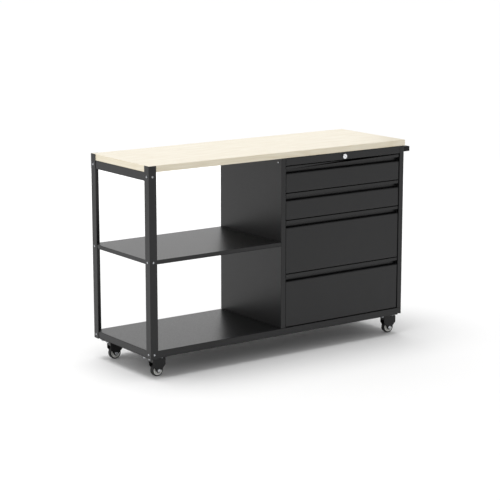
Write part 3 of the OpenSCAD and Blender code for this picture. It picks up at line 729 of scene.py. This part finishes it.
def rib_tree():
    """Sets ribs of one size in a ring round Z, each pointing out from it."""
    name = "ribs_in_a_ring"
    if name in bpy.data.node_groups:
        return bpy.data.node_groups[name]
    # a modifier's tree begins with a geometry, though this one makes its own
    tree, given = new_growth(name, {"Geometry": "Geometry", "Count": "Int",
                                    "Ring radius": "Float", "Rib size": "Vector",
                                    "Finish": "Material"})
    ring = add(tree, "GeometryNodeMeshCircle",
               {"Vertices": given["Count"], "Radius": given["Ring radius"]})
    rib = add(tree, "GeometryNodeMeshCube", {"Size": given["Rib size"]})
    place = add(tree, "GeometryNodeInputPosition")
    aimed = add(tree, "FunctionNodeAlignRotationToVector",
                {"Vector": place.outputs["Position"]}, axis="X")
    placed = add(tree, "GeometryNodeInstanceOnPoints",
                 {"Points": ring.outputs["Mesh"], "Instance": rib.outputs["Mesh"],
                  "Rotation": aimed.outputs["Rotation"]})
    return end_growth(tree, placed, given["Finish"])


def ribs(count, ring_r, rib_size):
    """A mesh of ribs in a ring round Z."""
    holder = bpy.data.objects.new("ribs", bpy.data.meshes.new("ribs"))
    bpy.context.scene.collection.objects.link(holder)
    made = grown(holder, rib_tree(), {"Count": count, "Ring radius": ring_r,
                                      "Rib size": rib_size,
                                      "Finish": finish_of("wheel_plastic")})
    bpy.data.objects.remove(holder)
    return made


# ---- operators ----

class Maker:
    """What every operator has in common."""

    bl_options = {"REGISTER", "UNDO"}


class BENCH_OT_worktop(Maker, bpy.types.Operator):
    """Makes the maple worktop with rounded edges and an edge band across each end"""

    bl_idname = "bench.worktop"
    bl_label = "Worktop"

    def execute(self, context):
        made = context.scene.bench_worktop
        shape = copy_of("worktop")
        mark_edges(shape)
        for face in shape.faces:
            face.material_index = int(abs(face.normal.x) > 0.9)
        make("worktop_board", shape,
             ["wood_top", finish_of("wood_top"), wood("lacquered_maple_end", math.pi / 2)],
             "bench", ["worktop"], made.edge_round)
        return {"FINISHED"}


class BENCH_OT_frame(Maker, bpy.types.Operator):
    """Makes the posts, rails, shelves and cabinet panels from folded, powder-coated sheet"""

    bl_idname = "bench.frame"
    bl_label = "Frame and panels"

    def execute(self, context):
        made = context.scene.bench_sheet
        for node in ("post_front_left", "post_rear_left", "end_rail", "mid_shelf", "base_shelf",
                     "caster_channels", "cabinet_left_side", "cabinet_right_side",
                     "cabinet_back", "cabinet_top_rail", "slide_uprights"):
            fold(node, "bench", "powder_coat", made.bend_radius, made.cut_edge, "folded")
        return {"FINISHED"}


class BENCH_OT_drawers(Maker, bpy.types.Operator):
    """Makes the four drawers: folded fronts with finger pulls, and the trays behind them"""

    bl_idname = "bench.drawers"
    bl_label = "Drawers"

    def execute(self, context):
        made, sheet = context.scene.bench_drawers, context.scene.bench_sheet
        for n in DRAWERS:
            fold(f"drawer_front_{n}", f"drawer_{n}", "powder_coat", made.bend_radius,
                 sheet.cut_edge, "folded")
            fold(f"drawer_tray_{n}", f"drawer_{n}", "powder_coat", made.bend_radius,
                 made.rim_round, "welded")
        return {"FINISHED"}


class BENCH_OT_slides(Maker, bpy.types.Operator):
    """Makes the telescopic slides from rolled, zinc-plated channels"""

    bl_idname = "bench.slides"
    bl_label = "Slides"

    def execute(self, context):
        made, sheet = context.scene.bench_drawers, context.scene.bench_sheet
        for n in DRAWERS:
            for member, body in (("outer", "bench"), ("middle", f"slide_{n}"),
                                 ("inner", f"drawer_{n}")):
                fold(f"slide_{member}_{n}", body, "slide_steel", made.channel_round,
                     sheet.cut_edge, "rolled")
        return {"FINISHED"}


class BENCH_OT_fasteners(Maker, bpy.types.Operator):
    """Makes the bolts, screws and nuts that hold the bench together"""

    bl_idname = "bench.fasteners"
    bl_label = "Bolts, screws and nuts"

    def execute(self, context):
        shape = bmesh.new()
        scatter_buttons(shape, "frame_bolts", 0)
        make_zinc("button_bolts", shape, "frame_bolts")

        shape = bmesh.new()
        scatter_buttons(shape, "handle_bolts", 1)
        scatter_nuts(shape, nut_seats("handle_bolts", NUT_SPAN), NUT_ACROSS, M6_RADIUS, 3)
        make_zinc("handle_bolts_and_nuts", shape, "handle_bolts")

        shape = bmesh.new()
        scatter_nuts(shape, nut_seats("frame_nuts", NUT_SPAN), NUT_ACROSS, M6_RADIUS, 4)
        make_zinc("panel_nuts", shape, "frame_nuts")

        # a low pan head with a hexagon socket
        shape = bmesh.new()
        head = [(0, -1.4 * MM), (1.4 * MM, -1.2 * MM, "hex"), (1.5 * MM, 0, "hex"),
                *arc(2.2 * MM, -1.8 * MM, 1.8 * MM, 90, 0), (4 * MM, -3 * MM), (2 * MM, -3 * MM)]
        seats = bolt_seats("worktop_screws")
        scatter(shape, [*head, *thread(2 * MM, -4 * MM, -seats[0][2])], seats, 5)
        make_zinc("worktop_pan_screws", shape, "worktop_screws")
        return {"FINISHED"}


class BENCH_OT_lock(Maker, bpy.types.Operator):
    """Makes the chromed cam lock: its body and nut on the rail, its turning plug and cam"""

    bl_idname = "bench.lock"
    bl_label = "Cam lock"

    def execute(self, context):
        made = context.scene.bench_lock
        low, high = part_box("lock_body")
        plug_low, plug_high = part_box("lock_plug")
        middle = Vector(((low.x + high.x) / 2, low.y, (low.z + high.z) / 2))
        place = Matrix.Translation(middle) @ Matrix.Rotation(math.pi / 2, 4, "X")
        face_r = (high.x - low.x) / 2
        bore_r = (plug_high.x - plug_low.x) / 2 + 0.05 * MM
        depth = high.y - low.y
        proud, barrel_r, edge = 7.5 * MM, 9.5 * MM, made.bezel_round
        # a shallow ring is sunk in the face round the plug
        shape = bmesh.new()
        turn(shape, [(bore_r, 0), (bore_r + 0.6 * MM, 0), (bore_r + 1.2 * MM, -0.5 * MM),
                     (bore_r + 2.2 * MM, -0.5 * MM), (bore_r + 2.8 * MM, 0),
                     *arc(face_r - edge, -edge, edge, 90, 0, 5),
                     (face_r, -proud), (barrel_r, -proud),
                     (barrel_r, -depth), (bore_r, -depth)],
             place, sides=FINE_SIDES, closed=True)
        make("lock_bezel", shape, ["lock_chrome"], "bench", ["lock_body"])

        low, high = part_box("lock_nut")
        across = high.z - low.z
        shape = bmesh.new()
        place = (Matrix.Translation((low + high) / 2) @ Matrix.Rotation(math.pi / 2, 4, "X")
                 @ Matrix.Rotation(math.pi / 6, 4, "Z"))
        turn(shape, nut_profile(min(across, high.x - low.x), high.y - low.y,
                                barrel_r + 0.2 * MM),
             place, closed=True)
        make_zinc("lock_ring_nut", shape, "lock_nut")

        for node, slot in (("lock_plug", "lock_chrome"), ("lock_cam", "zinc_hardware")):
            shape = copy_of(node)
            mark_edges(shape, small=0.1 * MM)
            make(f"{node}_turned", shape, [slot], "lock", [node], made.keyway_round, 2)
        return {"FINISHED"}


class BENCH_OT_handle(Maker, bpy.types.Operator):
    """Makes the push handle of mitred square tube with its welded plates"""

    bl_idname = "bench.handle"
    bl_label = "Push handle"

    def execute(self, context):
        made = context.scene.bench_handle
        low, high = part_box("push_handle")
        half, bead = made.tube / 2, made.weld
        # the box runs over both plates, and each leg stands at the middle of its plate
        half_plate = Vector((made.plate, made.plate_width, made.plate_height)) / 2
        legs = [low.y + half_plate.y, high.y - half_plate.y]
        level = (low.z + high.z) / 2
        root, out = low.x + made.plate, high.x - half
        sunk = 0.5 * MM
        shape = bmesh.new()
        sweep(shape, [Vector((root - sunk, legs[0], level)), Vector((out, legs[0], level)),
                      Vector((out, legs[1], level)), Vector((root - sunk, legs[1], level))],
              rounded_outline(half, half, made.tube_edge, 4))
        # a weld bead runs square round each leg: its corners stand out by the diagonal
        diagonal = math.sqrt(2)
        for leg in legs:
            middle = Vector((low.x + half_plate.x, leg, level))
            rounded_plate(shape, middle, half_plate, made.plate_corner)
            place = (Matrix.Translation((root, leg, level)) @ Matrix.Rotation(math.pi / 2, 4, "Y")
                     @ Matrix.Rotation(math.pi / 4, 4, "Z"))
            turn(shape, [((half + across) * diagonal, height) for across, height in (
                (-1 * MM, -0.3 * MM), (bead, -0.3 * MM), (bead * 0.9, bead * 0.35),
                (bead * 0.45, bead * 0.75), (-0.2 * MM, bead), (-1 * MM, bead))],
                 place, sides=4, closed=True)
        make("push_handle_square_tube", shape, ["handle_paint"], "bench", ["push_handle"])
        return {"FINISHED"}


class BENCH_OT_casters(Maker, bpy.types.Operator):
    """Makes the casters' plates, forks, bolts and axles"""

    bl_idname = "bench.casters"
    bl_label = "Casters"

    def execute(self, context):
        made = context.scene.bench_casters
        shape = copy_of("caster_plates")
        mark_edges(shape, small=1 * MM)
        make("caster_plates_pressed", shape, ["caster_steel"], "bench", ["caster_plates"],
             0.5 * MM, 2)

        shape = bmesh.new()
        seats = bolt_seats("caster_bolts")
        across, head_h, shank_r = 13 * MM, 4.5 * MM, 4 * MM
        profile = [(0, 0), (across / 2 * 0.95, 0), (across / 2, -0.6 * MM, "hex"),
                   (across / 2, -head_h, "hex"), (shank_r, -head_h),
                   *thread(shank_r, -head_h - 1 * MM, -seats[0][2])]
        scatter(shape, profile, seats, 6)
        make_zinc("caster_hex_bolts", shape, "caster_bolts")
        shape = bmesh.new()
        scatter_nuts(shape, nut_seats("caster_nuts", 2 * NUT_SPAN), across, shank_r, 7)
        make_zinc("caster_hex_nuts", shape, "caster_nuts")

        for n in CASTERS:
            shape = copy_of(f"caster_fork_{n}")
            mark_edges(shape, 3 * MM, 0.6, 1 * MM)
            make(f"caster_fork_{n}_pressed", shape, ["caster_steel"], f"caster_{n}",
                 [f"caster_fork_{n}"], made.edge_round)
            place = wheel_place(n)
            flat, bolt_r = 8 * MM, 5 * MM
            # cheek is half the fork's width; the bolt's tail stands out past its nut
            cheek, head, nut, tail = 18.5 * MM, 6 * MM, 7 * MM, 1.5 * MM
            shape = bmesh.new()
            turn(shape, [(0, -cheek - head), (flat * 0.55, -cheek - head),
                         (flat * 0.95, -cheek - head),
                         (flat, -cheek - head + 0.8 * MM, "hex"), (flat, -cheek, "hex"),
                         (bolt_r, -cheek), (bolt_r, cheek + nut),
                         (bolt_r - 0.7 * MM, cheek + nut + tail),
                         (0, cheek + nut + tail)], place)
            turn(shape, nut_profile(2 * flat, nut, bolt_r + 0.2 * MM),
                 place @ Matrix.Translation((0, 0, cheek + nut / 2)), closed=True)
            make(f"axle_{n}_bolt", shape, ["zinc_hardware"], f"caster_{n}", [f"axle_{n}"])
        return {"FINISHED"}


class BENCH_OT_wheels(Maker, bpy.types.Operator):
    """Makes the wheels: ribbed nylon cores in rubber tyres"""

    bl_idname = "bench.wheels"
    bl_label = "Wheels"

    def execute(self, context):
        made = context.scene.bench_casters
        low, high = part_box("tyre_1")
        outer = (high.z - low.z) / 2
        # tread, web and hub are halves of widths along the axle
        tread, web, hub = 12 * MM, 4.5 * MM, 15.7 * MM
        tyre_thick, rim, hub_r, bore = 6 * MM, 4 * MM, 10 * MM, 5.05 * MM
        core_r = outer - tyre_thick
        rim_in = core_r - rim
        groove, turn_in, fillet = made.groove, 0.8 * MM, 1.5 * MM
        for n in CASTERS:
            place = wheel_place(n)
            shape = bmesh.new()
            half = [(bore, hub), (hub_r - turn_in, hub), (hub_r, hub - turn_in),
                    (hub_r + 0.4 * MM, web + fillet), (hub_r + fillet, web),
                    (rim_in - fillet, web), (rim_in, web + fillet),
                    (rim_in, tread - turn_in), (rim_in + turn_in, tread), (core_r, tread)]
            turn(shape, mirrored(half), place, sides=FINE_SIDES, closed=True)
            rise = tread - web - fillet
            for side in (-1, 1):
                mesh = ribs(made.ribs, (rim_in + hub_r) / 2,
                            (rim_in - hub_r, made.rib_thickness, rise))
                mesh.transform(place @ Matrix.Translation((0, 0, side * (web + rise / 2))))
                shape.from_mesh(mesh)
                bpy.data.meshes.remove(mesh)
            make(f"wheel_core_{n}_moulded", shape, ["wheel_plastic"], f"wheel_{n}",
                 [f"wheel_core_{n}"])

            shape = bmesh.new()
            shoulder = 3 * MM
            side_in = tread - 0.3 * MM
            half = [(core_r, side_in - 0.5 * MM), (core_r + 0.6 * MM, side_in),
                    *arc(outer - shoulder, side_in - shoulder + 0.3 * MM, shoulder, 80, 0, 5),
                    (outer, 4.6 * MM), (outer - groove, 4.1 * MM),
                    (outer - groove, 3.1 * MM), (outer, 2.6 * MM)]
            turn(shape, mirrored(half), place, sides=64, closed=True)
            make(f"tyre_{n}_moulded", shape, ["tyre_rubber"], f"wheel_{n}", [f"tyre_{n}"])
        return {"FINISHED"}


class BENCH_OT_stage(Maker, bpy.types.Operator):
    """Makes the studio: white floor, soft light from all round, soft boxes and the camera"""

    bl_idname = "bench.stage"
    bl_label = "Studio"

    def execute(self, context):
        made, scene = context.scene.bench_stage, context.scene
        finish, tree = new_finish("white_studio_floor")
        shader = add(tree, "ShaderNodeBsdfDiffuse", {"Color": rgba(made.floor)})
        add(tree, "ShaderNodeOutputMaterial", {"Surface": shader.outputs["BSDF"]})
        shape = bmesh.new()
        bmesh.ops.create_grid(shape, x_segments=1, y_segments=1, size=FLOOR_REACH)
        mesh = bpy.data.meshes.new("floor")
        shape.to_mesh(mesh)
        shape.free()
        mesh.materials.append(finish)
        floor = bpy.data.objects.new("floor", mesh)
        scene.collection.objects.link(floor)

        # the far background is white to the eye, and a softer light on the bench
        world = bpy.data.worlds.new("studio")
        world.use_nodes = True
        tree = world.node_tree
        tree.nodes.clear()
        seen = add(tree, "ShaderNodeLightPath")
        bright = add(tree, "ShaderNodeMapRange",
                     {"Value": seen.outputs["Is Camera Ray"], "To Min": made.sky, "To Max": 1.0})
        light = add(tree, "ShaderNodeBackground",
                    {"Color": WHITE, "Strength": bright.outputs["Result"]})
        add(tree, "ShaderNodeOutputWorld", {"Surface": light.outputs["Background"]})
        scene.world = world
        scene.view_settings.view_transform = "Standard"

        # each lamp's strength, its place, and its width: an angle for a sun, else metres
        for name, kind, energy, place, width in (
                ("overhead", "SUN", made.key, Vector((-0.3, 0.3, 4.0)), math.radians(40)),
                ("end_box", "AREA", made.side, Vector((-3.6, 0.9, 1.3)), 3.0),
                ("back_box", "AREA", made.back, Vector((2.2, 5.0, 1.8)), 4.5)):
            lamp = bpy.data.lights.new(name, kind)
            lamp.energy = energy
            setattr(lamp, "angle" if kind == "SUN" else "size", width)
            box = bpy.data.objects.new(name, lamp)
            box.visible_camera = False
            box.location = place
            box.rotation_euler = (LAMPS_FACE - place).to_track_quat("-Z", "Y").to_euler()
            scene.collection.objects.link(box)

        lens = bpy.data.cameras.new("camera")
        lens.lens, lens.sensor_width = made.lens, FILM_WIDTH
        lens.clip_start, lens.clip_end = CLIP
        camera = bpy.data.objects.new("camera", lens)
        camera.location = made.eye
        ahead = Vector((math.sin(made.heading) * math.cos(made.dip),
                        math.cos(made.heading) * math.cos(made.dip), -math.sin(made.dip)))
        camera.rotation_euler = ahead.to_track_quat("-Z", "Y").to_euler()
        scene.collection.objects.link(camera)
        scene.camera = camera
        return {"FINISHED"}


OPERATORS = (BENCH_OT_worktop, BENCH_OT_frame, BENCH_OT_drawers, BENCH_OT_slides,
             BENCH_OT_fasteners, BENCH_OT_lock, BENCH_OT_handle, BENCH_OT_casters,
             BENCH_OT_wheels, BENCH_OT_stage)
SETTINGS = {"bench_worktop": WorktopSettings, "bench_sheet": SheetSettings,
            "bench_drawers": DrawerSettings, "bench_fasteners": FastenerSettings,
            "bench_lock": LockSettings, "bench_handle": HandleSettings,
            "bench_casters": CasterSettings, "bench_stage": StageSettings}


class BENCH_PT_pieces(bpy.types.Panel):
    """Lists the bench's pieces and their sizes"""

    bl_idname = "BENCH_PT_pieces"
    bl_label = "Mobile workbench"
    bl_space_type = "VIEW_3D"
    bl_region_type = "UI"
    bl_category = "Workbench"

    def draw(self, context):
        for operator in OPERATORS:
            self.layout.operator(operator.bl_idname)
        for name in SETTINGS:
            group = getattr(context.scene, name)
            box = self.layout.box()
            for value in group.__annotations__:
                box.prop(group, value)


def register():
    for settings in SETTINGS.values():
        bpy.utils.register_class(settings)
    for name, settings in SETTINGS.items():
        setattr(bpy.types.Scene, name, bpy.props.PointerProperty(type=settings))
    for operator in OPERATORS:
        bpy.utils.register_class(operator)
    bpy.utils.register_class(BENCH_PT_pieces)


def unregister():
    bpy.utils.unregister_class(BENCH_PT_pieces)
    for operator in reversed(OPERATORS):
        bpy.utils.unregister_class(operator)
    for name, settings in SETTINGS.items():
        delattr(bpy.types.Scene, name)
        bpy.utils.unregister_class(settings)


def main():
    register()
    for operator in OPERATORS:
        group, name = operator.bl_idname.split(".")
        getattr(getattr(bpy.ops, group), name)()


if __name__ == "__main__":
    main()
